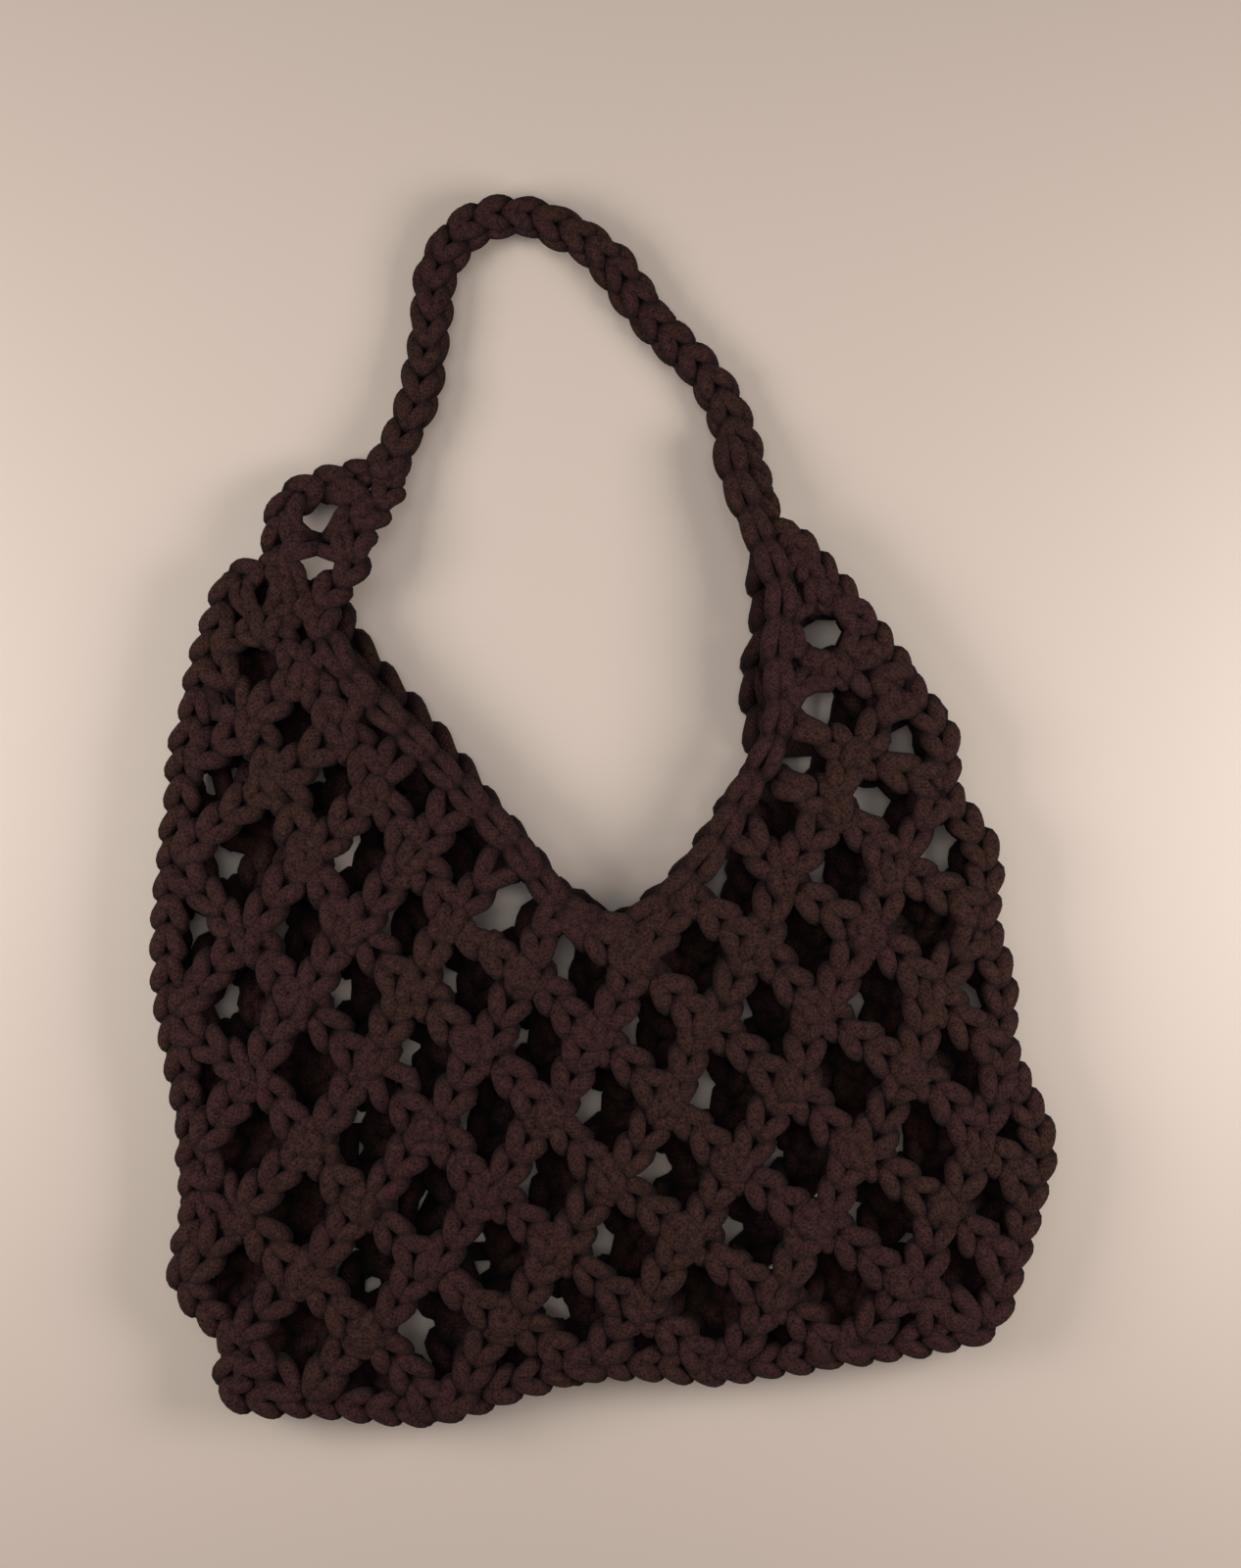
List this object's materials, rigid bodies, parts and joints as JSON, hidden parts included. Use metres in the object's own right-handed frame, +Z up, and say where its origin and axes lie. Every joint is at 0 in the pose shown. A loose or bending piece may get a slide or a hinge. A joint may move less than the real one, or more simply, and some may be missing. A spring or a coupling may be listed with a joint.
{
  "type": "crocheted net handbag",
  "caption": "Net shoulder bag crocheted in thick brown cotton cord, lying flat, with a V-shaped mouth, a ladder-like tab and a narrow strap.",
  "frame": {"origin": "middle of the outline, on the surface that the bag lies on", "axes": "+Z up out of the front panel, +Y from the bag's bottom to the strap's crest, +X to the right as seen from the front"},
  "size_m": [0.2884, 0.3938, 0.026],
  "materials": {
    "net_cotton": "matt soft cotton cord",
    "edging_cotton": "matt soft cotton cord"
  },
  "bodies": {
    "root": {"front_net": "net_cotton", "back_net": "net_cotton", "front_edging": "edging_cotton", "back_edging": "edging_cotton", "strap": "net_cotton"}
  },
  "joints": []
}
